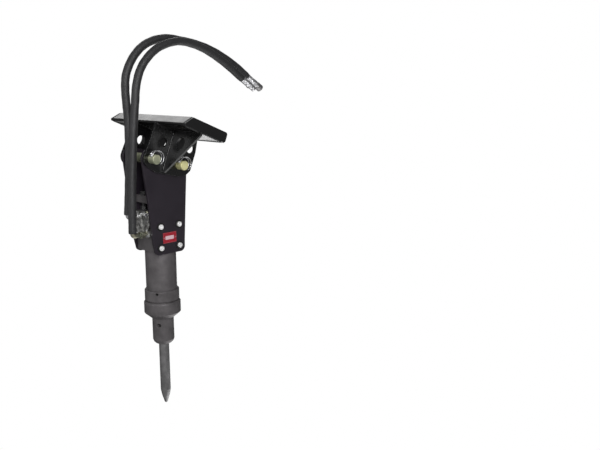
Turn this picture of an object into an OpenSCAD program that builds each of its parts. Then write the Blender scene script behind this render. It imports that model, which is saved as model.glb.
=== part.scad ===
// Hydraulic breaker hammer that hangs from a compact loader's attachment plate.
// Lengths are millimetres. The tool hangs along Z with its point down, Y runs back to the loader,
// and X runs along the attachment plate. The origin is the middle of the plate's upper face.
// Heights called "from the tip" are measured upward from the chisel's point.

/* [Attachment plate] */
// Width of the plate between its end plates' outer faces
plate_w = 600; // [560:10:640]
// Length of the plate from its folded front edge to its rear edge
plate_len = 261; // [250:1:280]
// Thickness of the bent plate
plate_t = 10; // [8:1:12]
// Height of the end plates above the plate's lower face
pan_h = 50; // [48:1:56]
// Tilt of the plate, dropping towards the loader
tilt = 22; // [15:1:25]
// Radius of the holes for the loader's latch pins
latch_hole_r = 13.5; // [11:0.5:14]
// Distance of each latch hole from the middle
latch_hole_x = 195; // [150:5:230]

/* [Cheeks and pins] */
// Distance from the middle to a cheek's outer face
cheek_out = 97; // [97:1:110]
// Thickness of a cheek
cheek_t = 12.5; // [10:0.5:13]
// Radius of the two bracket pins
pin_r = 22.2; // [18:0.1:24]
// Distance from the middle to a pin's free end
pin_end = 140; // [136:1:150]
// Thickness of the gussets
gusset_t = 10; // [6:1:14]

/* [Hammer] */
// Thickness of a side plate
side_t = 12; // [10:0.5:12.5]
// Radius of the round cylinder body
cyl_r = 76; // [72:0.5:78]
// Radius of the collar above the nose
collar_r = 90.5; // [88:0.5:94]
// Radius of the nose
nose_r = 53.5; // [53:0.5:56]
// Radius of the chisel's shank
tool_r = 25.4; // [24:0.1:26]
// Upward travel of the chisel
tool_travel = 40; // [20:1:40]
// Travel of the piston
piston_travel = 60; // [40:1:60]

/* [Hoses] */
// Outside radius of a sleeved hose
hose_r = 19.5; // [17:0.5:20.5]

/* [Hidden] */
$fn = 64;
run_gap = 0.06;
fit_gap = 0.05;
// folded edge of the plate, measured from the tip
fold_y = -66;
fold_z = 1437;
face_y = fold_y + plate_len / 2 * cos(tilt) + plate_t * sin(tilt);
face_z = fold_z - plate_len / 2 * sin(tilt) + plate_t * cos(tilt);
end_t = 10;
flange_t = 10;
lip_root = 55;
cheek_in = cheek_out - cheek_t;
side_out = 83;
side_in = side_out - side_t;
// pin and spare hole centres on the cheeks: along the plate, down from it
pin_holes = [[33, -165], [194, -144]];
spare_holes = [[70, -72], [231, -51]];
pin_bore_r = pin_r + 0.3;
lock_x = 124;
lock_turn = -43;
lock_r = 5;
wire_r = 2.2;
bar_r = 2.5;
wire_half = 8.6;
wire_head = -28;
wire_tip = 33;
wire_rise = 12;
// heights from the tip
nose_z = 326;
collar_z = 468;
ring_z = 557;
screw_z = 600;
cyl_z = 612;
flat_z = 802;
block_z = 815;
cyl_top = 1010;
cap_z = 1050;
head_top = 1086;
front_y = -83;
back_y = 76;
retainer_z = 430;
retainer_x = 27;
retainer_r = 10;
relief_r = tool_r + 1.6;
seal_r = 31;
valve_z0 = 890;
valve_z1 = 1011;
valve_y = -105;
valve_half = 62;
spool_x = 39;
spool_y = -94;
bolt_y = 54;
bolt_rows = [836, 941];
tie_xy = [45, 56];
// each hose: sideways position, height of its lower end, and route points [y, z] from that end
return_x = 22;
return_route = [[-170, 917], [-168, 985], [-165, 1075], [-160, 1170], [-152, 1265], [-144, 1360],
    [-134, 1450], [-124, 1530], [-115, 1600], [-93, 1668], [-56, 1722], [2, 1771], [70, 1800],
    [140, 1812], [215, 1803], [290, 1781], [365, 1746], [440, 1703], [540, 1636]];
pressure_x = -22;
pressure_route = [[-162, 1000], [-155, 1075], [-148, 1165], [-141, 1260], [-138, 1355],
    [-138, 1450], [-143, 1530], [-145, 1590], [-139, 1648], [-116, 1702], [-80, 1751], [-33, 1790],
    [32, 1817], [104, 1827], [176, 1820], [251, 1810], [340, 1789], [430, 1755], [527, 1705],
    [613, 1648]];
hose_sides = 12;
elbow_r = 12;
elbow_bend = 14;

bracket_black = [0.06, 0.06, 0.07];
plate_black = [0.14, 0.13, 0.15];
body_grey = [0.3, 0.3, 0.31];
steel = [0.48, 0.48, 0.5];
bright = [0.8, 0.8, 0.82];
zinc = [0.72, 0.68, 0.42];
rubber_black = [0.12, 0.12, 0.12];

// moves children drawn from the tip into the part's frame
module from_tip() {
    translate([0, -face_y, -face_z]) children();
}

// children drawn as [x, along the plate, up from its lower face]
module on_plate() {
    from_tip() translate([0, fold_y, fold_z]) rotate([-tilt, 0, 0]) children();
}

// extrudes a [y, z] outline along x
module panel(x0, t) {
    translate([x0, 0, 0]) rotate([90, 0, 90]) linear_extrude(t) children();
}

// one child on each side of the part's middle plane
module both_sides() {
    children();
    mirror([1, 0, 0]) children();
}

function pin_yz(p) = [fold_y + p[0] * cos(tilt) + p[1] * sin(tilt),
    fold_z - p[0] * sin(tilt) + p[1] * cos(tilt)];

module mount_plate() {
    color(bracket_black) on_plate() translate([end_t - plate_w / 2, lip_root, 0])
        cube([plate_w - 2 * end_t, plate_len - flange_t - lip_root, plate_t]);
}

// folded front strip whose lip leans back over the plate's face
module hook_lip() {
    inside = [22.2, plate_t];
    edge = [[53.5, 45.4], [46, 52]];
    color(bracket_black) on_plate() difference() {
        panel(end_t - plate_w / 2, plate_w - 2 * end_t)
            polygon(concat([[0, 0], [lip_root, 0], [lip_root, plate_t], inside], edge));
        // rounds the outside of the fold
        translate([-plate_w / 2, 0, 0]) rotate([90, 0, 90]) linear_extrude(plate_w) difference() {
            polygon([[-2, -1], [17.7, -1], [17.7, 8], [11.8, 13.3], [10.5, 14.4], [-2, 0]]);
            translate([17.76, 8]) circle(r = 8);
        }
    }
}

module end_plate() {
    corner = 12;
    panel(plate_w / 2 - end_t, end_t) union() {
        polygon([[12, 0], [plate_len - corner, 0], [plate_len, corner],
            [plate_len, pan_h - corner], [plate_len - corner, pan_h], [46, pan_h], [9, 10]]);
        translate([plate_len - corner, corner]) circle(r = corner);
        translate([plate_len - corner, pan_h - corner]) circle(r = corner);
    }
}

module end_plate_left() {
    color(bracket_black) on_plate() mirror([1, 0, 0]) end_plate();
}

module end_plate_right() {
    color(bracket_black) on_plate() end_plate();
}

module rear_flange() {
    flange_top = pan_h - 4;
    color(bracket_black) on_plate() difference() {
        translate([end_t - plate_w / 2, plate_len - flange_t, 0])
            cube([plate_w - 2 * end_t, flange_t, flange_top]);
        both_sides() translate([latch_hole_x, plate_len + 1, (plate_t + flange_top) / 2])
            rotate([90, 0, 0]) cylinder(r = latch_hole_r, h = flange_t + 2);
    }
}

module cheek() {
    panel(cheek_in, cheek_t) difference() {
        union() {
            polygon([[1, 0], [-10, -165], [28, -207], [75, -218], [208, -198], [247, -181],
                [266, -153], [267, -60], [258, 0]]);
            translate(pin_holes[0]) circle(r = 43);
        }
        for (p = concat(pin_holes, spare_holes)) {
            translate(p) circle(r = pin_bore_r);
        }
    }
}

module cheek_left() {
    color(bracket_black) on_plate() mirror([1, 0, 0]) cheek();
}

module cheek_right() {
    color(bracket_black) on_plate() cheek();
}

// triangular plate that stiffens the wide plate from the cheek
module gusset() {
    root = -206;
    tip_out = plate_w / 2 - 1;
    translate([0, 120, 0]) rotate([90, 0, 0]) linear_extrude(gusset_t) difference() {
        polygon([[cheek_out, 0], [tip_out, 0], [tip_out, -14], [cheek_out + 15, root],
            [cheek_out, root]]);
        translate([172, -60]) circle(r = 30);
    }
}

module gusset_left() {
    color(bracket_black) on_plate() mirror([1, 0, 0]) gusset();
}

module gusset_right() {
    color(bracket_black) on_plate() gusset();
}

// the pins run along x, with a head disc on the left cheek and a cross hole at the right end
module bracket_pin(p) {
    head_t = 10;
    on_plate() difference() {
        union() {
            panel(-cheek_out, cheek_out + pin_end - 2) translate(p) circle(r = pin_r);
            translate([pin_end - 2, p[0], p[1]]) rotate([0, 90, 0])
                cylinder(r1 = pin_r, r2 = pin_r - 2, h = 2);
            panel(-cheek_out - head_t, head_t) translate(p) circle(r = 31);
        }
        translate([lock_x, p[0], p[1]]) rotate([lock_turn + tilt, 0, 0]) rotate([90, 0, 0])
            cylinder(r = lock_r + fit_gap, h = 60, center = true);
    }
}

module front_pin() {
    color(zinc) bracket_pin(pin_holes[0]);
}

module rear_pin() {
    color(zinc) bracket_pin(pin_holes[1]);
}

// local x runs along the lock pin's shank, local z along the bracket pin
module lock_frame(p) {
    on_plate() translate([lock_x, p[0], p[1]]) rotate([90, 0, 90]) rotate([0, 0, lock_turn + tilt])
        children();
}

module lock_pin(p) {
    head_r = 6;
    lock_frame(p) difference() {
        rotate([0, 90, 0]) union() {
            translate([0, 0, -24]) cylinder(r = lock_r, h = 51);
            translate([0, 0, 27]) cylinder(r1 = lock_r, r2 = lock_r - 1.5, h = 1.5);
            translate([0, 0, -33]) cylinder(r1 = head_r - 1, r2 = head_r, h = 1);
            translate([0, 0, -32]) cylinder(r = head_r, h = 8.4);
        }
        translate([wire_head, 0, 0]) cylinder(r = bar_r + run_gap, h = 20, center = true);
    }
}

module front_lock_pin() {
    color(bright) lock_pin(pin_holes[0]);
}

module rear_lock_pin() {
    color(bright) lock_pin(pin_holes[1]);
}

// round arch of wire: two arcs, a bar through the pin's head and a bar past its tip
module lock_wire(p) {
    mid = (wire_head + wire_tip) / 2;
    half_chord = (wire_tip - wire_head) / 2;
    arch_r = sqrt(half_chord * half_chord + wire_rise * wire_rise);
    drop = atan(wire_rise / half_chord);
    lock_frame(p) union() {
        for (z = [-wire_half, wire_half]) {
            translate([mid, wire_rise, z]) rotate([0, 0, -drop])
                rotate_extrude(angle = 180 + 2 * drop) translate([arch_r, 0])
                    circle(r = wire_r, $fn = 32);
        }
        for (x = [wire_head, wire_tip]) {
            translate([x, 0, 0]) cylinder(r = bar_r, h = 2 * (wire_half + bar_r), center = true);
        }
    }
}

module front_lock_wire() {
    color(bright) lock_wire(pin_holes[0]);
}

module rear_lock_wire() {
    color(bright) lock_wire(pin_holes[1]);
}

module side_plate() {
    low = 803;
    corner = 25;
    front = pin_yz(pin_holes[0]);
    rear = pin_yz(pin_holes[1]);
    panel(side_in, side_t) difference() {
        union() {
            polygon([[-63, low], [63, low], [88, low + corner], [89, 860], [101, 1050], [110, 1180],
                [rear[0] + 48, rear[1]], [rear[0] + 9, rear[1] + 46], [front[0] + 9, front[1] + 42],
                [front[0] - 44, front[1]], [-131, 1180], [-114, 1050], [-96, 860],
                [-88, low + corner]]);
            translate([-63, low + corner]) circle(r = corner);
            translate([63, low + corner]) circle(r = corner);
            translate(front) circle(r = 44);
            translate(rear) circle(r = 48);
        }
        translate(front) circle(r = pin_bore_r);
        translate(rear) circle(r = pin_bore_r);
        for (y = [-bolt_y, bolt_y], z = bolt_rows) {
            translate([y, z]) circle(r = 8.5);
        }
    }
}

module side_plate_left() {
    color(plate_black) from_tip() mirror([1, 0, 0]) side_plate();
}

module side_plate_right() {
    color(plate_black) from_tip() side_plate();
}

// upright web welded between the side plates above the back head
module side_plate_web() {
    color(plate_black) from_tip() translate([-side_in, -8, 1110]) cube([2 * side_in, 12, 100]);
}

module side_plate_bolts() {
    color(bright) from_tip() both_sides() for (y = [-bolt_y, bolt_y], z = bolt_rows) {
        translate([0, y, z]) rotate([0, 90, 0]) difference() {
            union() {
                translate([0, 0, 42]) cylinder(r = 8, h = 44);
                translate([0, 0, 86]) cylinder(r = 12.5, h = 7);
                translate([0, 0, 93]) cylinder(r1 = 12.5, r2 = 10.5, h = 2);
            }
            translate([0, 0, 88]) cylinder(r = 7, h = 8, $fn = 6);
        }
    }
}

module bolt_washers() {
    color(rubber_black) from_tip() both_sides() for (y = [-bolt_y, bolt_y], z = bolt_rows) {
        translate([side_out, y, z]) rotate([0, 90, 0]) difference() {
            cylinder(r = 20, h = 3);
            translate([0, 0, -1]) cylinder(r = 8.5, h = 5);
        }
    }
}

module badge_plate() {
    color([0.65, 0.08, 0.15]) from_tip() panel(side_out, 1.6) difference() {
        translate([-41, 856]) square([78, 52]);
        for (y = [-36.5, 32.5]) {
            translate([y, 882]) circle(r = 1.6);
        }
    }
}

// hollow space of the cylinder: chisel room, piston guide, piston bore and carrier seat
module cylinder_bores() {
    translate([0, 0, cyl_z - 1]) cylinder(r = 24, h = 79);
    translate([0, 0, 689]) cylinder(r = 20 + run_gap, h = 62);
    for (z = [700, 718, 736]) {
        translate([0, 0, z]) cylinder(r = 24, h = 5);
    }
    translate([0, 0, 750]) cylinder(r = 30 + run_gap, h = 195);
    translate([0, 0, 944.9]) cylinder(r = 34, h = cyl_top - 943.9);
}

module cylinder_body() {
    difference() {
        union() {
            translate([0, 0, cyl_z]) cylinder(r = cyl_r, h = flat_z - cyl_z);
            // flats where the side plates clamp
            intersection() {
                translate([0, 0, flat_z - 1]) cylinder(r = cyl_r, h = block_z - flat_z + 2);
                translate([-side_in, -cyl_r, flat_z - 1]) cube([2 * side_in, 2 * cyl_r, 30]);
            }
            translate([-side_in, front_y, block_z])
                cube([2 * side_in, back_y - front_y, cyl_top - block_z]);
        }
        cylinder_bores();
        both_sides() for (y = [-bolt_y, bolt_y], z = bolt_rows) {
            translate([40, y, z]) rotate([0, 90, 0]) cylinder(r = 8 + fit_gap, h = 40);
        }
        for (x = [-tie_xy[0], tie_xy[0]], y = [-tie_xy[1], tie_xy[1]]) {
            translate([x, y, 960]) cylinder(r = 10 + fit_gap, h = 60);
        }
        // oil ways behind the valve body: to the upper bore, and down a gallery to the lower bore
        for (z = [765, 905]) {
            translate([0, -24, z]) rotate([90, 0, 0]) cylinder(r = 4, h = 30);
        }
        translate([0, -50, 760]) cylinder(r = 4, h = 145);
        for (z = [905, 930]) {
            translate([0, -24, z]) rotate([90, 0, 0]) cylinder(r = 4, h = 65);
        }
    }
}

module cylinder_node() {
    color(body_grey) from_tip() cylinder_body();
}

// gas head: a round neck on the cylinder under a square cap
module back_head() {
    color(body_grey) from_tip() difference() {
        union() {
            translate([0, 0, cyl_top]) cylinder(r = 48, h = cap_z - cyl_top + 1);
            translate([-side_in, front_y, cap_z])
                cube([2 * side_in, back_y - front_y, head_top - cap_z]);
        }
        translate([0, 0, cyl_top - 1]) cylinder(r = 34, h = 45);
        translate([0, 0, cap_z]) cylinder(r = 6 + fit_gap, h = 40);
        for (x = [-tie_xy[0], tie_xy[0]], y = [-tie_xy[1], tie_xy[1]]) {
            translate([x, y, cap_z - 1]) cylinder(r = 10 + fit_gap, h = 40);
        }
    }
}

module charging_valve() {
    color(steel) from_tip() union() {
        translate([0, 0, head_top - 20]) cylinder(r = 6, h = 21);
        translate([0, 0, head_top]) cylinder(r = 13, h = 9, $fn = 6);
        translate([0, 0, head_top + 9]) cylinder(r = 8, h = 10);
    }
}

module tie_bolts() {
    color(plate_black) from_tip() for (x = [-tie_xy[0], tie_xy[0]], y = [-tie_xy[1], tie_xy[1]]) {
        translate([x, y, 962]) cylinder(r = 10, h = head_top - 962);
        translate([x, y, head_top]) cylinder(r = 18, h = 3);
        translate([x, y, head_top + 3]) cylinder(r = 16.5, h = 13, $fn = 6);
    }
}

// lock nuts that hold the tie bolts on the cylinder's top
module tie_nuts() {
    color(plate_black) from_tip() for (x = [-tie_xy[0], tie_xy[0]], y = [-tie_xy[1], tie_xy[1]]) {
        translate([x, y, cyl_top]) difference() {
            union() {
                cylinder(r = 17, h = 3);
                translate([0, 0, 3]) cylinder(r = 16.5, h = 16, $fn = 6);
            }
            translate([0, 0, -1]) cylinder(r = 10 + fit_gap, h = 22);
        }
    }
}

module seal_carrier() {
    color(steel) from_tip() difference() {
        translate([0, 0, 945]) cylinder(r = 34 - fit_gap, h = 45);
        translate([0, 0, 944]) cylinder(r = 22 + run_gap, h = 47);
        for (z = [952, 970]) {
            translate([0, 0, z]) cylinder(r = 26, h = 5);
        }
    }
}

// a row of seal rings, each 5 mm tall
module seal_rings(heights, inner, outer) {
    for (z = heights) {
        translate([0, 0, z]) difference() {
            cylinder(r = outer, h = 5);
            translate([0, 0, -1]) cylinder(r = inner, h = 7);
        }
    }
}

module upper_seals() {
    color(rubber_black) from_tip() seal_rings([952, 970], 22 + run_gap, 26);
}

module lower_seals() {
    color(rubber_black) from_tip() seal_rings([700, 718, 736], 20 + run_gap, 24);
}

module piston() {
    color(steel) from_tip() difference() {
        union() {
            translate([0, 0, 681]) cylinder(r1 = 18, r2 = 20, h = 2);
            translate([0, 0, 683]) cylinder(r = 20, h = 92);
            translate([0, 0, 775]) cylinder(r = 30, h = 95);
            translate([0, 0, 870]) cylinder(r = 22, h = 88);
            translate([0, 0, 958]) cylinder(r1 = 22, r2 = 20, h = 2);
        }
        for (z = [790, 820, 850]) {
            translate([0, 0, z]) difference() {
                cylinder(r = 31, h = 4);
                translate([0, 0, -1]) cylinder(r = 28.5, h = 6);
            }
        }
    }
}

module valve_body() {
    depth = front_y - valve_y;
    color(bright) from_tip() difference() {
        translate([-valve_half, valve_y, valve_z0]) cube([2 * valve_half, depth, valve_z1 - valve_z0]);
        translate([spool_x, spool_y, 899]) cylinder(r = 6 + run_gap, h = 120);
        port_hole(return_x, return_route[0][1] - elbow_bend);
        port_hole(pressure_x, pressure_route[0][1] - elbow_bend);
        for (x = [-54, 54], z = [899, 1001]) {
            valve_bolt_hole(x, z);
        }
        translate([-56, spool_y, 945]) rotate([0, 90, 0]) cylinder(r = 3, h = 102);
        // short ways through to the cylinder's two oil holes
        for (z = [905, 930]) {
            translate([0, front_y + 1, z]) rotate([90, 0, 0]) cylinder(r = 4, h = 12);
        }
    }
}

module port_hole(x, z) {
    translate([x, valve_y + 14, z]) rotate([90, 0, 0]) cylinder(r = 10 + fit_gap, h = 15);
}

module valve_bolt_hole(x, z) {
    translate([x, front_y + 1, z]) rotate([90, 0, 0]) cylinder(r = 3.5 + fit_gap, h = 30);
}

module valve_spool() {
    color(steel) from_tip() translate([spool_x, spool_y, 900]) difference() {
        cylinder(r = 6, h = 80);
        for (z = [16, 36, 56]) {
            translate([0, 0, z]) difference() {
                cylinder(r = 7, h = 10);
                translate([0, 0, -1]) cylinder(r = 4, h = 12);
            }
        }
    }
}

// screw plugs: one closes the spool's bore on top, one closes the cross drilling on the side
module valve_plugs() {
    color(zinc) from_tip() union() {
        translate([spool_x, spool_y, valve_z1 - 16]) cylinder(r = 6, h = 16);
        translate([spool_x, spool_y, valve_z1]) cylinder(r = 10, h = 7, $fn = 6);
        translate([-valve_half - 6, spool_y, 945]) rotate([0, 90, 0]) cylinder(r = 6.5, h = 6, $fn = 6);
    }
}

module valve_bolts() {
    color(bright) from_tip() for (x = [-54, 54], z = [899, 1001]) {
        translate([x, front_y, z]) rotate([90, 0, 0]) cylinder(r = 3.5, h = 22);
        translate([x, valve_y, z]) rotate([90, 0, 0]) difference() {
            cylinder(r = 6.5, h = 8);
            translate([0, 0, 3]) cylinder(r = 3.4, h = 6, $fn = 6);
        }
    }
}

// straight hex adapter screwed into the valve body
module adapter(x, z) {
    translate([x, valve_y, z]) rotate([90, 0, 0]) union() {
        translate([0, 0, -13]) cylinder(r = 10, h = 13);
        cylinder(r = 16, h = 12, $fn = 6);
    }
}

module return_adapter() {
    color(zinc) from_tip() adapter(return_x, return_route[0][1] - elbow_bend);
}

module pressure_adapter() {
    color(bright) from_tip() adapter(pressure_x, pressure_route[0][1] - elbow_bend);
}

// swivel nut and bent tube from the adapter up into the hose's lower end
module elbow(x, end) {
    nut_y = valve_y - 12;
    straight = nut_y - end[0] - elbow_bend;
    translate([x, end[0] + elbow_bend, end[1]]) rotate([0, -90, 0]) rotate([0, 0, 180])
        rotate_extrude(angle = 90) translate([elbow_bend, 0]) circle(r = elbow_r, $fn = 32);
    translate([x, nut_y, end[1] - elbow_bend]) rotate([90, 0, 0]) union() {
        cylinder(r = elbow_r, h = straight);
        cylinder(r = 18, h = 16, $fn = 6);
    }
}

module return_elbow() {
    color(zinc) from_tip() elbow(return_x, return_route[0]);
}

module pressure_elbow() {
    color(bright) from_tip() elbow(pressure_x, pressure_route[0]);
}

// direction of the route at point i, as [y, z]
function route_dir(path, i) = let(a = path[max(i - 1, 0)], b = path[min(i + 1, len(path) - 1)])
    (b - a) / norm(b - a);

function hose_ring(x, path, i) = let(d = i == 0 ? [0, 1] : route_dir(path, i))
    [for (k = [0 : hose_sides - 1]) let(a = 360 * k / hose_sides)
        [x + hose_r * cos(a), path[i][0] - hose_r * sin(a) * d[1],
            path[i][1] + hose_r * sin(a) * d[0]]];

// round tube swept along a route
module hose(x, path) {
    n = len(path);
    points = [for (i = [0 : n - 1]) each hose_ring(x, path, i)];
    sides = [for (i = [0 : n - 2], k = [0 : hose_sides - 1]) let(j = (k + 1) % hose_sides)
        [i * hose_sides + k, i * hose_sides + j, (i + 1) * hose_sides + j,
            (i + 1) * hose_sides + k]];
    first = [for (k = [hose_sides - 1 : -1 : 0]) k];
    last = [for (k = [0 : hose_sides - 1]) (n - 1) * hose_sides + k];
    polyhedron(points, concat(sides, [first, last]));
}

module return_hose() {
    color(rubber_black) from_tip() hose(return_x, return_route);
}

module pressure_hose() {
    color(rubber_black) from_tip() hose(pressure_x, pressure_route);
}

// children drawn along local z, starting at the hose's far end and pointing out of it
module hose_far_end(x, path) {
    d = route_dir(path, len(path) - 1);
    tip = path[len(path) - 1];
    translate([x, tip[0], tip[1]]) rotate([atan2(d[1], d[0]) - 90, 0, 0]) children();
}

// crimped sleeve and hex of the hose's end fitting
module ferrule() {
    cylinder(r = 17, h = 30);
    translate([0, 0, 30]) cylinder(r = 13, h = 6);
    translate([0, 0, 36]) cylinder(r = 18, h = 16, $fn = 6);
}

module return_ferrule() {
    color(bright) from_tip() hose_far_end(return_x, return_route) ferrule();
}

module pressure_ferrule() {
    color(bright) from_tip() hose_far_end(pressure_x, pressure_route) ferrule();
}

// flat-face nipple, the male half of a quick coupler
module return_coupler() {
    color(bright) from_tip() hose_far_end(return_x, return_route) union() {
        translate([0, 0, 52]) cylinder(r = 18, h = 14, $fn = 6);
        translate([0, 0, 66]) cylinder(r = 14, h = 14);
        translate([0, 0, 80]) cylinder(r = 11, h = 5);
        translate([0, 0, 85]) cylinder(r = 14, h = 13);
    }
}

// female half, whose sliding sleeve is a node of its own
module pressure_coupler() {
    color(bright) from_tip() hose_far_end(pressure_x, pressure_route) difference() {
        union() {
            translate([0, 0, 52]) cylinder(r = 18, h = 20, $fn = 6);
            translate([0, 0, 72]) cylinder(r = 16, h = 46);
        }
        translate([0, 0, 96]) cylinder(r = 14.1, h = 30);
    }
}

module coupler_sleeve() {
    color(steel) from_tip() hose_far_end(pressure_x, pressure_route)
        translate([0, 0, 82]) difference() {
            cylinder(r = 20, h = 34);
            translate([0, 0, -1]) cylinder(r = 16 + run_gap, h = 36);
            translate([0, 0, 15]) difference() {
                cylinder(r = 21, h = 4);
                translate([0, 0, -1]) cylinder(r = 18.8, h = 6);
            }
        }
}

function ring_dir(a) = [sin(a), -cos(a)];

// upper ring with a radial hole for its lock screw
module upper_ring() {
    color(body_grey) from_tip() difference() {
        rotate_extrude($fn = 96) polygon([[52 + fit_gap, ring_z], [82, ring_z], [85, ring_z + 3],
            [85, cyl_z - 4], [81, cyl_z], [52 + fit_gap, cyl_z]]);
        translate([0, 0, screw_z]) rotate([0, 0, 38]) rotate([90, 0, 0])
            translate([0, 0, 45]) cylinder(r = 7 + fit_gap, h = 50);
    }
}

module ring_lock_screw() {
    color(steel) from_tip() translate([0, 0, screw_z]) rotate([0, 0, 38]) rotate([90, 0, 0])
        translate([0, 0, 52.5]) difference() {
            cylinder(r = 7, h = 24);
            translate([0, 0, 17]) cylinder(r = 4, h = 8, $fn = 6);
        }
}

module front_collar() {
    color(body_grey) from_tip() rotate_extrude($fn = 96)
        polygon([[52 + fit_gap, collar_z], [63, collar_z], [collar_r - 2, 490], [collar_r, 493],
            [collar_r, 545], [84, 552], [78, 553], [78, ring_z], [52 + fit_gap, ring_z]]);
}

// nose and spigot in one forging, bored for the bushes, the thrust ring and the retainer pin
module front_head() {
    color(body_grey) from_tip() difference() {
        rotate_extrude($fn = 96)
            polygon([[seal_r, nose_z], [41, nose_z + 3], [49, nose_z + 11], [nose_r, nose_z + 22],
                [nose_r, collar_z - 3], [52, collar_z], [52, cyl_z], [40 + fit_gap, cyl_z],
                [40 + fit_gap, 580], [relief_r, 580], [relief_r, 540], [32 + fit_gap, 540],
                [32 + fit_gap, 452], [relief_r, 452], [relief_r, 412], [32 + fit_gap, 412],
                [32 + fit_gap, 336], [seal_r, 336]]);
        translate([retainer_x, 60, retainer_z]) rotate([90, 0, 0])
            cylinder(r = retainer_r + fit_gap, h = 120);
    }
}

module bush(z0, z1) {
    translate([0, 0, z0]) difference() {
        cylinder(r = 32, h = z1 - z0);
        translate([0, 0, -1]) cylinder(r = tool_r + run_gap, h = z1 - z0 + 2);
    }
}

module lower_bush() {
    color([0.62, 0.5, 0.25]) from_tip() bush(336, 412);
}

module upper_bush() {
    color([0.62, 0.5, 0.25]) from_tip() bush(452, 540);
}

module thrust_ring() {
    color(steel) from_tip() translate([0, 0, 580]) difference() {
        cylinder(r = 40, h = 32);
        translate([0, 0, -1]) cylinder(r = 20.4, h = 34);
    }
}

module retainer_pin() {
    color(steel) from_tip() translate([retainer_x, 34, retainer_z]) rotate([90, 0, 0])
        cylinder(r = retainer_r, h = 68);
}

module retainer_plugs() {
    color(rubber_black) from_tip() for (y = [-34, 39]) {
        translate([retainer_x, y, retainer_z]) rotate([90, 0, 0]) cylinder(r = retainer_r, h = 5);
    }
}

module dust_seal() {
    color(rubber_black) from_tip() translate([0, 0, nose_z]) difference() {
        cylinder(r = seal_r, h = 10);
        translate([0, 0, -1]) cylinder(r = tool_r + run_gap, h = 12);
    }
}

// moil point chisel with the retainer flat on one side and a stepped upper end
module chisel() {
    flat = retainer_x - retainer_r - 0.4;
    slot_top = retainer_z + retainer_r + 0.4;
    slot_h = 2 * retainer_r + tool_travel + 1;
    color(steel) from_tip() difference() {
        union() {
            rotate_extrude() polygon([[0, 0], [5, 0], [7.5, 3], [18.5, 38], [23.2, 60],
                [tool_r, 74], [tool_r, 538], [20, 540], [20, 638], [18, 640], [0, 640]]);
        }
        translate([flat, -30, slot_top - slot_h]) cube([10, 60, slot_h]);
    }
}

mount_plate();
hook_lip();
end_plate_left();
end_plate_right();
rear_flange();
cheek_left();
cheek_right();
gusset_left();
gusset_right();
front_pin();
rear_pin();
front_lock_pin();
rear_lock_pin();
front_lock_wire();
rear_lock_wire();
side_plate_left();
side_plate_right();
side_plate_web();
side_plate_bolts();
bolt_washers();
badge_plate();
cylinder_node();  // cylinder
back_head();
charging_valve();
tie_bolts();
tie_nuts();
seal_carrier();
upper_seals();
lower_seals();
piston();
valve_body();
valve_spool();
valve_plugs();
valve_bolts();
return_adapter();
pressure_adapter();
return_elbow();
pressure_elbow();
return_hose();
pressure_hose();
return_ferrule();
pressure_ferrule();
return_coupler();
pressure_coupler();
coupler_sleeve();
upper_ring();
ring_lock_screw();
front_collar();
front_head();
lower_bush();
upper_bush();
thrust_ring();
retainer_pin();
retainer_plugs();
dust_seal();
chisel();
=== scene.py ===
# Hydraulic breaker hammer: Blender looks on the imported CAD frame.
# tip() and plate() take millimetres; Blender's own lengths are in metres.
import math
import random

import bmesh
import bpy
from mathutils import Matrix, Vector


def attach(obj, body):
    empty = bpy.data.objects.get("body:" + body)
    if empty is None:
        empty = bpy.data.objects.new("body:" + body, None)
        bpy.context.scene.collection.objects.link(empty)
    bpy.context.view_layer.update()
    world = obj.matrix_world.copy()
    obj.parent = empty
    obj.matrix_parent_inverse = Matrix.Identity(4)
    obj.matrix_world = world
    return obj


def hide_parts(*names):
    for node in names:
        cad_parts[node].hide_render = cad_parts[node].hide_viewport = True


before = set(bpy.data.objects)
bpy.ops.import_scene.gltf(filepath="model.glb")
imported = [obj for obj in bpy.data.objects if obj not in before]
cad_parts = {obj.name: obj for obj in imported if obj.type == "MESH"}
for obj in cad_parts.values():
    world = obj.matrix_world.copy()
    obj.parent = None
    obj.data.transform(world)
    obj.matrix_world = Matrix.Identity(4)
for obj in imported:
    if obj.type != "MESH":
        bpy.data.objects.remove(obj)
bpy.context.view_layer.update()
RNG = random.Random(7)

# The CAD is drawn from the chisel's point; these bring those heights into the row frame, as part.scad does.
TILT = math.radians(22)
FOLD_Y, FOLD_Z = -66.0, 1437.0
PLATE_LEN, PLATE_T = 261.0, 10.0
FACE_Y = FOLD_Y + PLATE_LEN / 2 * math.cos(TILT) + PLATE_T * math.sin(TILT)
FACE_Z = FOLD_Z - PLATE_LEN / 2 * math.sin(TILT) + PLATE_T * math.cos(TILT)


def tip(x, y, z):
    """A point given from the chisel's tip in millimetres, in the row frame."""
    return Vector((x, y - FACE_Y, z - FACE_Z)) / 1000


def plate(x, u, v):
    """A point given on the tilted attachment plate in millimetres: across, along, up."""
    y = FOLD_Y + u * math.cos(TILT) + v * math.sin(TILT)
    z = FOLD_Z - u * math.sin(TILT) + v * math.cos(TILT)
    return tip(x, y, z)


# ---------------------------------------------------------------- camera
# the camera's place from the chisel's tip in millimetres, and its turns in degrees
SENSOR_MM, LENS_MM = 36, 43.62
CAMERA_AT = (2917.3, -2059.9, 1635.8)
LOOK_DOWN, LOOK_ROUND = 11.37, 43.62
camera_data = bpy.data.cameras.new("camera")
camera_data.sensor_width = SENSOR_MM
camera_data.lens = LENS_MM
camera = bpy.data.objects.new("camera", camera_data)
bpy.context.scene.collection.objects.link(camera)
camera.location = tip(*CAMERA_AT)
camera.rotation_euler = (math.radians(90 - LOOK_DOWN), 0, math.radians(LOOK_ROUND))
bpy.context.scene.camera = camera

# ---------------------------------------------------------------- materials


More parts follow.
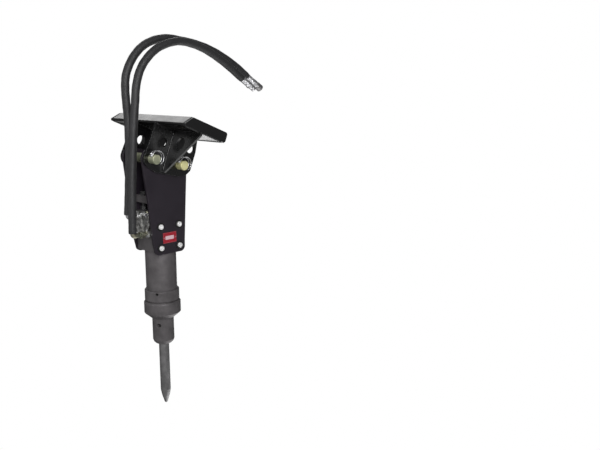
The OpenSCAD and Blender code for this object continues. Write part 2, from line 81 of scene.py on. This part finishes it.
MIX_A, MIX_B, MIX_RESULT = 6, 7, 2  # the colour sockets of a Mix node
BEVEL_SAMPLES = 6
EDGE_GAIN = 6


class Shader:
    """A principled material and short ways to add nodes to it."""

    def __init__(self, name, color, rough, metallic=0.0):
        self.mat = bpy.data.materials.new(name)
        self.mat.use_nodes = True
        self.tree = self.mat.node_tree
        self.bsdf = self.tree.nodes["Principled BSDF"]
        self.bsdf.inputs["Base Color"].default_value = (*color, 1)
        self.bsdf.inputs["Roughness"].default_value = rough
        self.bsdf.inputs["Metallic"].default_value = metallic
        self.coords = self.node("ShaderNodeTexCoord").outputs["Object"]

    def node(self, kind, **settings):
        made = self.tree.nodes.new(kind)
        for key, value in settings.items():
            setattr(made, key, value)
        return made

    def link(self, a, b):
        self.tree.links.new(a, b)

    def math(self, op, a, b=0.5, clamp=False):
        made = self.node("ShaderNodeMath", operation=op, use_clamp=clamp)
        for socket, value in zip(made.inputs, (a, b)):
            if hasattr(value, "links"):
                self.link(value, socket)
            else:
                socket.default_value = value
        return made.outputs[0]

    def noise(self, scale, detail=4, rough=0.55, stretch=None):
        made = self.node("ShaderNodeTexNoise")
        made.inputs["Scale"].default_value = scale
        made.inputs["Detail"].default_value = detail
        made.inputs["Roughness"].default_value = rough
        source = self.coords
        if stretch:
            mapping = self.node("ShaderNodeMapping")
            mapping.inputs["Scale"].default_value = stretch
            self.link(source, mapping.inputs["Vector"])
            source = mapping.outputs[0]
        self.link(source, made.inputs["Vector"])
        return made.outputs[0]

    def ramp(self, source, low, high, at=(0.3, 0.7)):
        made = self.node("ShaderNodeMapRange")
        made.inputs["From Min"].default_value, made.inputs["From Max"].default_value = at
        made.inputs["To Min"].default_value, made.inputs["To Max"].default_value = low, high
        self.link(source, made.inputs["Value"])
        return made.outputs[0]

    def mix(self, factor, a, b):
        """A colour between a and b; each is a colour or a socket."""
        made = self.node("ShaderNodeMix", data_type="RGBA")
        self.link(factor, made.inputs["Factor"])
        for index, value in ((MIX_A, a), (MIX_B, b)):
            if hasattr(value, "links"):
                self.link(value, made.inputs[index])
            else:
                made.inputs[index].default_value = (*value, 1)
        return made.outputs[MIX_RESULT]

    def edges(self, radius, power=1.0):
        """1 on a sharp edge and 0 on a flat face."""
        bevel = self.node("ShaderNodeBevel", samples=BEVEL_SAMPLES)
        bevel.inputs["Radius"].default_value = radius
        geometry = self.node("ShaderNodeNewGeometry")
        dot = self.node("ShaderNodeVectorMath", operation="DOT_PRODUCT")
        self.link(bevel.outputs[0], dot.inputs[0])
        self.link(geometry.outputs["Normal"], dot.inputs[1])
        turned_away = self.math("SUBTRACT", 1.0, dot.outputs["Value"])
        return self.math("MULTIPLY", turned_away, EDGE_GAIN * power, True)

    def color(self, socket):
        self.link(socket, self.bsdf.inputs["Base Color"])

    def roughness(self, socket):
        self.link(socket, self.bsdf.inputs["Roughness"])

    def bump(self, height, distance, strength=0.5, soft_edges=0.0):
        bump = self.node("ShaderNodeBump")
        bump.inputs["Distance"].default_value = distance
        bump.inputs["Strength"].default_value = strength
        self.link(height, bump.inputs["Height"])
        if soft_edges:
            bevel = self.node("ShaderNodeBevel", samples=BEVEL_SAMPLES)
            bevel.inputs["Radius"].default_value = soft_edges
            self.link(bevel.outputs[0], bump.inputs["Normal"])
        self.link(bump.outputs[0], self.bsdf.inputs["Normal"])


def painted(name, color, rough, worn, coat=0.0, wear=0.8, peel=0.00008, patch=1.25):
    """Paint over steel: orange peel, uneven gloss, and edges rubbed towards the worn colour."""
    s = Shader(name, color, rough)
    s.bsdf.inputs["Coat Weight"].default_value = coat
    s.bsdf.inputs["Coat Roughness"].default_value = 0.12
    clouds = s.noise(9, 5)
    grain = s.noise(260, 3)
    speck = s.noise(70, 6, 0.7)
    base = s.mix(s.ramp(clouds, 0, 1, (0.35, 0.7)), color, [c * patch for c in color])
    chips = s.math("MULTIPLY", s.edges(0.0016, wear), s.ramp(speck, 0, 1, (0.38, 0.62)), True)
    s.color(s.mix(chips, base, worn))
    uneven = s.math("ADD", s.ramp(clouds, rough - 0.06, rough + 0.1), s.ramp(speck, -0.04, 0.05))
    s.roughness(uneven)
    height = s.math("ADD", s.math("MULTIPLY", grain, 0.5), s.math("MULTIPLY", speck, 0.5))
    s.bump(height, peel, 0.6, 0.0012)
    return s.mat


def cast_body(name, color, worn):
    """Phosphated, machined and lightly cast steel: fine pits, turning marks and darker clouds."""
    s = Shader(name, color, 0.45, 0.55)
    clouds = s.noise(14, 5, 0.6)
    pits = s.noise(420, 4, 0.7)
    turned = s.noise(30, 3, 0.5, (1, 1, 18))
    base = s.mix(s.ramp(clouds, 0, 1, (0.35, 0.68)), [c * 0.82 for c in color], [c * 1.2 for c in color])
    rub = s.math("MULTIPLY", s.edges(0.0014, 0.8), s.ramp(pits, 0.2, 1), True)
    s.color(s.mix(rub, base, worn))
    s.roughness(s.math("ADD", s.ramp(clouds, 0.33, 0.44), s.ramp(turned, -0.05, 0.07)))
    height = s.math("ADD", s.math("MULTIPLY", pits, 0.6), s.math("MULTIPLY", turned, 0.7))
    s.bump(height, 0.00016, 0.5, 0.0012)
    return s.mat


def bare_metal(name, color, rough, brushed=(1, 1, 12), tint=None, pits=0.4, metallic=1.0, clouds_at=22):
    """Ground, plated or cast metal: brush lines, uneven gloss, and an optional cloudy tint."""
    s = Shader(name, color, rough, metallic)
    clouds = s.noise(clouds_at, 5, 0.6)
    lines = s.noise(55, 3, 0.5, brushed)
    fine = s.noise(500, 3, 0.7)
    light = [min(1, c * 1.12) for c in color]
    dark = tint or [c * 0.8 for c in color]
    s.color(s.mix(s.ramp(clouds, 0, 1, (0.36, 0.66)), dark, light))
    s.roughness(s.math("ADD", s.ramp(clouds, rough - 0.06, rough + 0.08), s.ramp(lines, -0.05, 0.07)))
    height = s.math("ADD", s.math("MULTIPLY", lines, 0.6), s.math("MULTIPLY", fine, pits))
    s.bump(height, 0.00009, 0.5, 0.0006)
    return s.mat


WARP_THREADS, WEFT_THREADS_PER_METRE = 44, 380


def woven_sleeve(name, color):
    """Nylon hose sleeve: basket weave along and round the tube, from its own map, with lint on it."""
    s = Shader(name, color, 0.45)
    s.bsdf.inputs["Sheen Weight"].default_value = 0.08
    s.bsdf.inputs["Sheen Roughness"].default_value = 0.4
    uv = s.node("ShaderNodeUVMap", uv_map="weave").outputs[0]
    split = s.node("ShaderNodeSeparateXYZ")
    s.link(uv, split.inputs[0])
    warp = s.math("SINE", s.math("MULTIPLY", split.outputs["X"], math.tau * WARP_THREADS))
    weft = s.math("SINE", s.math("MULTIPLY", split.outputs["Y"], math.tau * WEFT_THREADS_PER_METRE))
    weave = s.math("MULTIPLY", warp, weft)
    clouds = s.noise(16, 5, 0.6)
    lint = s.noise(300, 4, 0.7)
    tone = s.math("ADD", s.ramp(clouds, 0, 0.7), s.math("MULTIPLY", weave, 0.25), True)
    s.color(s.mix(tone, [c * 0.75 for c in color], [c * 1.5 for c in color]))
    s.roughness(s.ramp(lint, 0.38, 0.55))
    s.bump(s.math("ADD", weave, s.math("MULTIPLY", lint, 0.4)), 0.00025, 0.5)
    return s.mat


def moulded_rubber(name, color):
    """Matt black rubber with a fine grain."""
    s = Shader(name, color, 0.6)
    clouds = s.noise(30, 5, 0.6)
    grain = s.noise(600, 3, 0.6)
    s.color(s.mix(s.ramp(clouds, 0, 1), [c * 0.8 for c in color], [c * 1.6 for c in color]))
    s.roughness(s.ramp(grain, 0.5, 0.7))
    s.bump(grain, 0.0001, 0.5, 0.0006)
    return s.mat


GREY_EDGE = (0.16, 0.16, 0.165)
MAT = {
    "bracket": painted("bracket_gloss_black", (0.0018, 0.0018, 0.0021), 0.26, GREY_EDGE, coat=0.2, wear=0.7),
    "plate": painted("side_plate_charcoal", (0.0135, 0.0095, 0.0155), 0.44, (0.12, 0.11, 0.12), wear=0.5),
    "body": cast_body("body_phosphate_grey", (0.155, 0.145, 0.15), (0.28, 0.27, 0.27)),
    "steel": bare_metal("tool_steel", (0.36, 0.355, 0.36), 0.36),
    "zinc": bare_metal("yellow_zinc", (0.42, 0.4, 0.3), 0.36, tint=(0.24, 0.25, 0.2)),
    "pin_front": bare_metal("pin_green_zinc", (0.5, 0.51, 0.36), 0.4, tint=(0.3, 0.33, 0.22), metallic=0.6),
    "pin_rear": bare_metal("pin_yellow_zinc", (0.92, 0.86, 0.44), 0.4, tint=(0.8, 0.76, 0.4), metallic=0.4),
    "bright": bare_metal("bright_plate", (0.78, 0.78, 0.8), 0.24),
    "bolt": bare_metal("bolt_bright_zinc", (0.95, 0.95, 0.95), 0.45, tint=(0.84, 0.84, 0.84), metallic=0.3),
    "valve": bare_metal("valve_casting", (0.75, 0.75, 0.73), 0.4, brushed=(1, 1, 1), tint=(0.1, 0.1, 0.095),
                        pits=2.6, clouds_at=48),
    "sleeve": woven_sleeve("hose_sleeve", (0.022, 0.022, 0.0235)),
    "rubber": moulded_rubber("seal_rubber", (0.012, 0.012, 0.012)),
    "badge": painted("badge_red", (0.34, 0.006, 0.02), 0.3, (0.5, 0.2, 0.2), coat=0.5, wear=0.4, patch=1.1),
    "badge_white": painted("badge_white", (0.8, 0.55, 0.6), 0.35, (0.5, 0.4, 0.4), coat=0.4, wear=0.3,
                           patch=0.95),
    "badge_rim": painted("badge_rim", (0.36, 0.03, 0.045), 0.3, (0.6, 0.3, 0.3), coat=0.5, wear=0.3,
                         patch=1.1),
    "bronze": bare_metal("bush_bronze", (0.55, 0.38, 0.16), 0.35),
    "blackbolt": painted("black_oxide", (0.014, 0.014, 0.015), 0.4, (0.2, 0.2, 0.2), wear=0.9),
    "washer": painted("washer_black", (0.004, 0.004, 0.004), 0.6, (0.08, 0.08, 0.08), wear=0.3),
}
# which material each CAD node wears
NODE_MATERIALS = {
    "bracket": ("mount_plate hook_lip end_plate_left end_plate_right rear_flange "
                "cheek_left cheek_right gusset_left gusset_right"),
    "plate": "side_plate_left side_plate_right side_plate_web",
    "body": "cylinder back_head upper_ring front_collar front_head",
    "steel": ("chisel piston valve_spool seal_carrier thrust_ring retainer_pin charging_valve "
              "coupler_sleeve"),
    "zinc": "valve_plugs return_adapter return_elbow",
    "pin_front": "front_pin",
    "pin_rear": "rear_pin",
    "bolt": "side_plate_bolts",
    "washer": "bolt_washers ring_lock_screw",
    "bright": ("front_lock_pin rear_lock_pin front_lock_wire rear_lock_wire valve_bolts "
               "pressure_adapter pressure_elbow return_ferrule pressure_ferrule "
               "return_coupler pressure_coupler"),
    "valve": "valve_body",
    "sleeve": "return_hose pressure_hose",
    "rubber": "upper_seals lower_seals retainer_plugs dust_seal",
    "badge": "badge_plate",
    "bronze": "lower_bush upper_bush",
    "blackbolt": "tie_bolts tie_nuts",
}
# every material slot of each CAD node takes the material that node wears
for kind, names in NODE_MATERIALS.items():
    for name in names.split():
        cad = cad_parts[name]
        for material_slot in cad.material_slots:
            material_slot.material = MAT[kind]

# ---------------------------------------------------------------- mesh helpers


def piece(name, mesh, kind, body="breaker", smooth=35):
    """A finished mesh as an object that rides on a body."""
    made = bpy.data.objects.new(name, mesh)
    bpy.context.scene.collection.objects.link(made)
    mesh.materials.append(MAT[kind])
    mesh.polygons.foreach_set("use_smooth", [True] * len(mesh.polygons))
    mesh.set_sharp_from_angle(angle=math.radians(smooth))
    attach(made, body)
    return made


def mesh_from(name, vertices, faces):
    """A checked mesh from points and faces."""
    mesh = bpy.data.meshes.new(name)
    mesh.from_pydata([tuple(v) for v in vertices], [], faces)
    mesh.validate()
    mesh.update()
    return mesh


def catmull(points, steps):
    """A smooth line through the points."""
    points = [Vector(p) for p in points]
    ends = [2 * points[0] - points[1]] + points + [2 * points[-1] - points[-2]]
    line = []
    for i in range(1, len(ends) - 2):
        a, b, c, d = ends[i - 1:i + 3]
        for k in range(steps):
            t = k / steps
            line.append(0.5 * (2 * b + (c - a) * t + (2 * a - 5 * b + 4 * c - d) * t * t
                               + (3 * b - a - 3 * c + d) * t ** 3))
    line.append(points[-1])
    return line


def frames(line):
    """Two unit vectors square to the line at each of its points, without twist."""
    result = []
    side = None
    for i, p in enumerate(line):
        ahead = (line[min(i + 1, len(line) - 1)] - line[max(i - 1, 0)]).normalized()
        if side is None:
            side = ahead.orthogonal().normalized()
        side = (side - ahead * side.dot(ahead)).normalized()
        result.append((side, ahead.cross(side)))
    return result


def sweep(name, line, radius, sides, uv=None):
    """A round capped tube along a line. radius(i, angle) gives each point's distance from it."""
    rings = []
    for i, (p, (a, b)) in enumerate(zip(line, frames(line))):
        for k in range(sides):
            angle = math.tau * k / sides
            rings.append(p + (a * math.cos(angle) + b * math.sin(angle)) * radius(i, angle))
    faces = []
    for i in range(len(line) - 1):
        for k in range(sides):
            j = (k + 1) % sides
            faces.append((i * sides + k, i * sides + j, (i + 1) * sides + j, (i + 1) * sides + k))
    faces.append(tuple(reversed(range(sides))))
    faces.append(tuple((len(line) - 1) * sides + k for k in range(sides)))
    mesh = mesh_from(name, rings, faces)
    if uv:
        layer = mesh.uv_layers.new(name=uv)
        length = [0.0]
        for a, b in zip(line, line[1:]):
            length.append(length[-1] + (b - a).length)
        for face in mesh.polygons:
            whole = len(face.vertices) == 4
            for loop in face.loop_indices:
                v = mesh.loops[loop].vertex_index
                i, k = divmod(v, sides)
                turn = k / sides
                if whole and k == 0 and any(mesh.loops[m].vertex_index % sides == sides - 1
                                            for m in face.loop_indices):
                    turn = 1.0
                layer.data[loop].uv = (turn, length[i])
    return mesh


def turned(name, profile, start, axis, sides=48, shape=None, ring=False):
    """Turns (radius, height) points in millimetres round an axis, as a ring or with both ends capped.

    shape(radius, height, angle) can change a radius.
    """
    axis = Vector(axis).normalized()
    a = axis.orthogonal().normalized()
    b = axis.cross(a)
    start = Vector(start)
    vertices, faces = [], []
    for r, h in profile:
        for k in range(sides):
            angle = math.tau * k / sides
            rr = shape(r, h, angle) if shape else r
            vertices.append(start + (axis * h + (a * math.cos(angle) + b * math.sin(angle)) * rr) / 1000)
    count = len(profile)
    for i in range(count if ring else count - 1):
        n = (i + 1) % count
        for k in range(sides):
            j = (k + 1) % sides
            faces.append((i * sides + k, i * sides + j, n * sides + j, n * sides + k))
    if not ring:
        faces.append(tuple(reversed(range(sides))))
        faces.append(tuple((count - 1) * sides + k for k in range(sides)))
    return mesh_from(name, vertices, faces)


def hexed(r, angle):
    """The reach of a hexagon whose corners are r away, at an angle."""
    return r * math.cos(math.pi / 6) / math.cos((angle % (math.pi / 3)) - math.pi / 6)


def rounded_rect(x0, y0, x1, y1, r, steps=4):
    """Outline points of a rectangle with round corners, counter-clockwise."""
    outline = []
    corners = ((x1 - r, y0 + r, -90), (x1 - r, y1 - r, 0), (x0 + r, y1 - r, 90), (x0 + r, y0 + r, 180))
    for cx, cy, turn in corners:
        for k in range(steps + 1):
            angle = math.radians(turn + 90 * k / steps)
            outline.append((cx + r * math.cos(angle), cy + r * math.sin(angle)))
    return outline


def slab(name, outline, place, depth, chamfer, kind):
    """A flat convex plate with a chamfered rim. place(a, b, c) gives the point c above (a, b)."""
    n = len(outline)
    cx, cy = sum(p[0] for p in outline) / n, sum(p[1] for p in outline) / n
    vertices = []
    for inset, c in ((0, 0), (0, depth - chamfer), (chamfer, depth)):
        for a, b in outline:
            k = 1 - inset / math.hypot(a - cx, b - cy)
            vertices.append(place(cx + (a - cx) * k, cy + (b - cy) * k, c))
    faces = [tuple(reversed(range(n))), tuple(2 * n + k for k in range(n))]
    for i in (0, n):
        faces += [(i + k, i + (k + 1) % n, i + n + (k + 1) % n, i + n + k) for k in range(n)]
    mesh = mesh_from(name, vertices, faces)
    work = bmesh.new()
    work.from_mesh(mesh)
    bmesh.ops.recalc_face_normals(work, faces=work.faces)
    work.to_mesh(mesh)
    work.free()
    return piece(name, mesh, kind, smooth=40)


# ---------------------------------------------------------------- hoses
RETURN_ROUTE = [(-170, 917), (-168, 985), (-165, 1075), (-160, 1170), (-152, 1265), (-144, 1360),
                (-134, 1450), (-124, 1530), (-115, 1600), (-93, 1668), (-56, 1722), (2, 1771),
                (70, 1800), (140, 1812), (215, 1803), (290, 1781), (365, 1746), (440, 1703),
                (540, 1636)]
PRESSURE_ROUTE = [(-162, 1000), (-155, 1075), (-148, 1165), (-141, 1260), (-138, 1355),
                  (-138, 1450), (-143, 1530), (-145, 1590), (-139, 1648), (-116, 1702), (-80, 1751),
                  (-33, 1790), (32, 1817), (104, 1827), (176, 1820), (251, 1810), (340, 1789),
                  (430, 1755), (527, 1705), (613, 1648)]
RETURN_X, PRESSURE_X = 22, -22
HOSE_R = 0.0195
CUFF_RINGS = 3  # rings of the sweep that each end's cuff covers


def hose(name, x, route):
    """A sleeved hose along its route."""
    line = catmull([tip(x, y, z) for y, z in route], 9)
    last = len(line) - 1

    def radius(i, angle):
        # cuffs at both ends, and the loose sleeve's slight waves between them
        wave = 0.0003 * math.sin(i * 0.9 + 2 * math.sin(angle)) + 0.0002 * math.sin(i * 2.3 + angle * 3)
        cuff = 0.0002 if min(i, last - i) < CUFF_RINGS else wave
        rolled = 0.0012 if min(i, last - i) == 0 else 0
        return HOSE_R - 0.0004 + cuff - rolled

    made = piece(name, sweep(name, line, radius, 40, uv="weave"), "sleeve", smooth=60)
    return made


def far_end(x, route):
    """Where a hose ends and which way its fitting points."""
    (y0, z0), (y1, z1) = route[-2:]
    return tip(x, y1, z1), Vector((0, y1 - y0, z1 - z0)).normalized()


def crimped_ferrule(name, x, route):
    """Ferrule crimped in six bands, with its neck and chamfered hexagon."""
    shell_r, crimp_r, neck_r, chamfer_r, nut_r = 16.9, 16.1, 13, 16.2, 17.6
    nut_from, hexagon_r = 36, 18
    profile = [(15.8, 0), (shell_r, 0.8)]
    for i in range(6):
        h = 2.2 + 4.4 * i
        profile += [(shell_r, h), (crimp_r, h + 0.7), (crimp_r, h + 2.6), (shell_r, h + 3.3)]
    profile += [(shell_r, 29), (16, 30), (neck_r, 30.2), (neck_r, nut_from)]
    profile += [(chamfer_r, nut_from + 0.1), (nut_r, 38), (nut_r, 50), (chamfer_r, 51.9)]

    def shape(r, h, angle):
        return min(r, hexed(hexagon_r, angle)) if h > nut_from else r

    return piece(name, turned(name, profile, *far_end(x, route), 72, shape), "bright")


def knurled_sleeve():
    """Coupler sleeve with a diamond knurl either side of its groove."""
    grip_r, groove_r, chamfer_r, bore_r = 19.6, 18.8, 18.6, 16.3
    ridges, deep, row = 24, 0.35, 1.1
    profile = [(bore_r, 82), (chamfer_r, 82), (grip_r, 83)]
    profile += [(grip_r, 83.5 + row * i) for i in range(12)]
    profile += [(groove_r, 97.2), (groove_r, 100.8)]
    profile += [(grip_r, 101.2 + row * i) for i in range(13)]
    profile += [(chamfer_r, 116), (bore_r, 116)]

    def shape(r, h, angle):
        if r != grip_r:
            return r
        slant = h * 1.4
        return r - deep + deep * math.cos(ridges * angle + slant) * math.cos(ridges * angle - slant)

    name = "coupler_sleeve_knurled"
    mesh = turned(name, profile, *far_end(PRESSURE_X, PRESSURE_ROUTE), 144, shape, True)
    return piece(name, mesh, "steel", "sleeve")


return_ferrule = crimped_ferrule("return_ferrule_crimped", RETURN_X, RETURN_ROUTE)
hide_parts("return_ferrule")
pressure_ferrule = crimped_ferrule("pressure_ferrule_crimped", PRESSURE_X, PRESSURE_ROUTE)
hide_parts("pressure_ferrule")
sleeve = knurled_sleeve()
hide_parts("coupler_sleeve")
return_hose = hose("return_hose_sleeve", RETURN_X, RETURN_ROUTE)
pressure_hose = hose("pressure_hose_sleeve", PRESSURE_X, PRESSURE_ROUTE)
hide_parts("return_hose")
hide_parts("pressure_hose")

# ---------------------------------------------------------------- weld beads


RIPPLE = 0.0022  # from one ring of a bead to the next


def bead(name, start, end, size, kind="bracket"):
    """A rippled fillet weld between two points. size is the bead's radius in millimetres."""
    start, end = Vector(start), Vector(end)
    count = max(6, int((end - start).length / RIPPLE))
    line = [start.lerp(end, i / count) for i in range(count + 1)]
    lumps = [RNG.uniform(0.92, 1.08) for _ in line]

    def radius(i, angle):
        ripple = 1 + 0.09 * math.sin(i * math.tau / 3)
        taper = min(1, 0.55 + 0.25 * min(i, count - i))
        return size / 1000 * ripple * taper * lumps[i]

    return piece(name, sweep(name, line, radius, 10), kind, smooth=80)


# bead sizes, and where the welds run, all in millimetres
BIG, MIDDLE, SMALL, FINE = 4.0, 3.6, 3.0, 2.6
CHEEK_OUT, CHEEK_IN = 97.0, 84.5
GUSSET_AT = CHEEK_OUT + 1
END_UNDER, END_TOP = 290, 289
LONG = 284
WEB_X, WEB_LOW, WEB_HIGH = 70.5, 1114, 1206
for side, word in ((-1, "left"), (1, "right")):
    cheek = side * CHEEK_OUT
    bead(f"weld_cheek_outer_front_{word}", plate(cheek, 6, -1), plate(cheek, 108, -1), BIG)
    bead(f"weld_cheek_outer_rear_{word}", plate(cheek, 122, -1), plate(cheek, 252, -1), BIG)
    inner = side * CHEEK_IN
    bead(f"weld_cheek_inner_{word}", plate(inner, 10, -1), plate(inner, 250, -1), BIG)
    for u, face in ((110, "front"), (120, "rear")):
        corner = side * GUSSET_AT
        bead(f"weld_gusset_cheek_{face}_{word}", plate(corner, u, -8), plate(corner, u, -198), MIDDLE)
        bead(f"weld_gusset_plate_{face}_{word}", plate(side * 106, u, -1), plate(side * 286, u, -1), MIDDLE)
    under, top = side * END_UNDER, side * END_TOP
    bead(f"weld_end_plate_under_{word}", plate(under, 20, 0), plate(under, 246, 0), SMALL)
    bead(f"weld_end_plate_pan_{word}", plate(top, 34, 11), plate(top, 248, 11), MIDDLE)
    bead(f"weld_end_plate_lip_{word}", plate(top, 9, 9), plate(top, 46, 50), SMALL)
    for y, face in ((-8, "front"), (4, "rear")):
        web = side * WEB_X
        bead(f"weld_web_{face}_{word}", tip(web, y, WEB_LOW), tip(web, y, WEB_HIGH), BIG, "plate")
for name, u, v, size in (("weld_flange_inner", 250, 11, MIDDLE), ("weld_flange_under", 251, 0, FINE),
                         ("weld_lip_pan", 55, 10, SMALL), ("weld_lip_under", 55, 0, FINE)):
    bead(name, plate(-LONG, u, v), plate(LONG, u, v), size)

# ---------------------------------------------------------------- badge


BADGE_FACE = 84.6


def on_badge(y, z, out):
    """A point that stands out from the badge's face."""
    return tip(BADGE_FACE + out, y, z)


slab("badge_bar", rounded_rect(-28, 873, 22, 891, 3), on_badge, 0.7, 0.3, "badge_white")
for word, edge in (("top", (-40, 904.5, 36, 907)), ("bottom", (-40, 857, 36, 859.5)),
                   ("front", (-40, 860, -38, 904)), ("rear", (34, 860, 36, 904))):
    slab(f"badge_rim_{word}", rounded_rect(*edge, 0.6, 2), on_badge, 0.8, 0.3, "badge_rim")
RIVET = [(2.6, 0), (2.5, 0.5), (1.9, 1.0), (0.9, 1.3)]
for word, y in (("front", -36.5), ("rear", 32.5)):
    name = f"badge_rivet_{word}"
    piece(name, turned(name, RIVET, on_badge(y, 882, -0.1), (1, 0, 0), 20), "bright")

# ---------------------------------------------------------------- valve body casting


VALVE_FACE = -105


def on_valve(x, z, out):
    """A point that stands out from the valve body's front face."""
    return tip(x, VALVE_FACE - out, z)


def cast_ellipse(cx, cz, rx, rz, count=28):
    """Outline points of an ellipse, counter-clockwise."""
    turns = [math.tau * k / count for k in range(count)]
    return [(cx + rx * math.cos(turn), cz + rz * math.sin(turn)) for turn in turns]


def socket_plug(name, x, z, r, kind):
    """Round plug with a hexagon socket."""
    profile = [(r, 0), (r, 3.2), (r - 0.8, 4), (r * 0.55, 4), (r * 0.5, 3.6), (r * 0.5, 1.2)]

    def shape(radius, h, angle):
        return hexed(radius * 1.1, angle) if radius < r * 0.6 else radius

    piece(name, turned(name, profile, on_valve(x, z, 2), (0, -1, 0), 48, shape), kind)


def cast_on(name, outline, depth, chamfer=1.2):
    """A raised piece of the valve body's casting."""
    slab(name, outline, on_valve, depth, chamfer, "valve")


UPPER_Z, LOWER_Z = 968, 927
for side, word in ((-1, "left"), (1, "right")):
    upper, lower, rib = side * 46, side * 47, side * 59
    cast_on(f"valve_pad_upper_{word}", cast_ellipse(upper, UPPER_Z, 8.5, 11), 3.2)
    cast_on(f"valve_pad_lower_{word}", cast_ellipse(lower, LOWER_Z, 8, 10), 3.2)
    cast_on(f"valve_rib_{word}", rounded_rect(rib - 2, 903, rib + 2, 990, 1.5), 4)
    cast_on(f"valve_rib_cross_{word}", rounded_rect(lower - 11, 944, lower + 11, 950, 2), 2.6, 1)
    socket_plug(f"valve_socket_upper_{word}", upper, UPPER_Z, 5.5, "steel")
    socket_plug(f"valve_socket_lower_{word}", lower, LOWER_Z, 5, "bright")
cast_on("valve_rib_middle", rounded_rect(-3, 899, 3, 996, 2), 3.4)
cast_on("valve_boss_return", cast_ellipse(RETURN_X, 903, 18.5, 12.5), 1.6, 0.8)
cast_on("valve_boss_pressure", cast_ellipse(PRESSURE_X, 986, 18.5, 16), 1.6, 0.8)

# ---------------------------------------------------------------- studio


def lit_for_camera(tree, shade, seen):
    """A shader that the camera sees as seen and that lights and mirrors in the object as shade."""
    light_path = tree.nodes.new("ShaderNodeLightPath")
    mixer = tree.nodes.new("ShaderNodeMixShader")
    tree.links.new(light_path.outputs["Is Camera Ray"], mixer.inputs[0])
    tree.links.new(shade, mixer.inputs[1])
    tree.links.new(seen, mixer.inputs[2])
    return mixer.outputs[0]


FLOOR_HALF = 40.0
FLOOR_BELOW_POINT = 0.14


def stage_floor():
    """Pale plain floor that the camera sees as white and that isn't mirrored in the object."""
    half = FLOOR_HALF
    z = -FACE_Z / 1000 - FLOOR_BELOW_POINT
    mesh = mesh_from("floor", [(-half, -half, z), (half, -half, z), (half, half, z), (-half, half, z)],
                     [(0, 1, 2, 3)])
    made = bpy.data.objects.new("floor", mesh)
    bpy.context.scene.collection.objects.link(made)
    s = Shader("floor_pale", (0.6, 0.6, 0.6), 0.8)
    s.color(s.mix(s.ramp(s.noise(2.5, 3), 0, 1), (0.58, 0.58, 0.58), (0.62, 0.62, 0.62)))
    glow = s.node("ShaderNodeEmission")
    glow.inputs["Strength"].default_value = 1.0
    surface = lit_for_camera(s.tree, s.bsdf.outputs[0], glow.outputs[0])
    s.link(surface, s.tree.nodes["Material Output"].inputs["Surface"])
    mesh.materials.append(s.mat)
    made.visible_glossy = False


LIGHTS_AIM = Vector((0, 0, -0.4))


def area_light(name, direction, distance, size, power):
    """A rectangular lamp in the given direction from the hammer's middle, turned towards it."""
    data = bpy.data.lights.new(name, "AREA")
    data.shape = "RECTANGLE"
    data.size, data.size_y = size
    data.energy = power
    made = bpy.data.objects.new(name, data)
    bpy.context.scene.collection.objects.link(made)
    made.location = LIGHTS_AIM + Vector(direction).normalized() * distance
    made.rotation_euler = (LIGHTS_AIM - made.location).to_track_quat("-Z", "Y").to_euler()


stage_floor()
area_light("key_right", (1.0, -0.6, 0.5), 3.4, (0.9, 2.2), 75)
area_light("fill_left", (-0.2, -1.0, 0.3), 4.0, (0.6, 2.4), 20)
area_light("top_back", (-0.68, 0.27, 0.69), 3.2, (1.8, 1.4), 17)

WHITE = (1, 1, 1, 1)
world = bpy.data.worlds.new("world")
bpy.context.scene.world = world
world.use_nodes = True
tree = world.node_tree
background = tree.nodes["Background"]
background.inputs["Color"].default_value = WHITE


def towards(direction, start, end, low, high):
    """A strength that runs from low to high as the sky's direction nears the given one."""
    coords = tree.nodes.new("ShaderNodeTexCoord")
    dot = tree.nodes.new("ShaderNodeVectorMath")
    dot.operation = "DOT_PRODUCT"
    dot.inputs[1].default_value = Vector(direction).normalized()
    tree.links.new(coords.outputs["Generated"], dot.inputs[0])
    run = tree.nodes.new("ShaderNodeMapRange")
    run.interpolation_type = "SMOOTHSTEP"
    for socket, value in zip(("From Min", "From Max", "To Min", "To Max"), (start, end, low, high)):
        run.inputs[socket].default_value = value
    tree.links.new(dot.outputs["Value"], run.inputs["Value"])
    return run.outputs[0]


# the studio is bright in front, dim behind, with two low patches that the plate's underside mirrors
total = towards((0.69, -0.72, 0.2), -0.9, 0.6, 0.09, 0.3)
LOW_PATCHES = (towards((-0.676, 0.647, -0.351), 0.955, 0.985, 0.0, 1.8),
               towards((0.09, 0.43, -0.9), 0.7, 0.95, 0.0, 1.3))
for more in LOW_PATCHES:
    adder = tree.nodes.new("ShaderNodeMath")
    tree.links.new(total, adder.inputs[0])
    tree.links.new(more, adder.inputs[1])
    total = adder.outputs[0]
tree.links.new(total, background.inputs["Strength"])
white = tree.nodes.new("ShaderNodeBackground")
white.inputs["Color"].default_value = WHITE
white.inputs["Strength"].default_value = 1.0
tree.links.new(lit_for_camera(tree, background.outputs[0], white.outputs[0]),
               tree.nodes["World Output"].inputs["Surface"])
bpy.context.scene.view_settings.view_transform = "Standard"
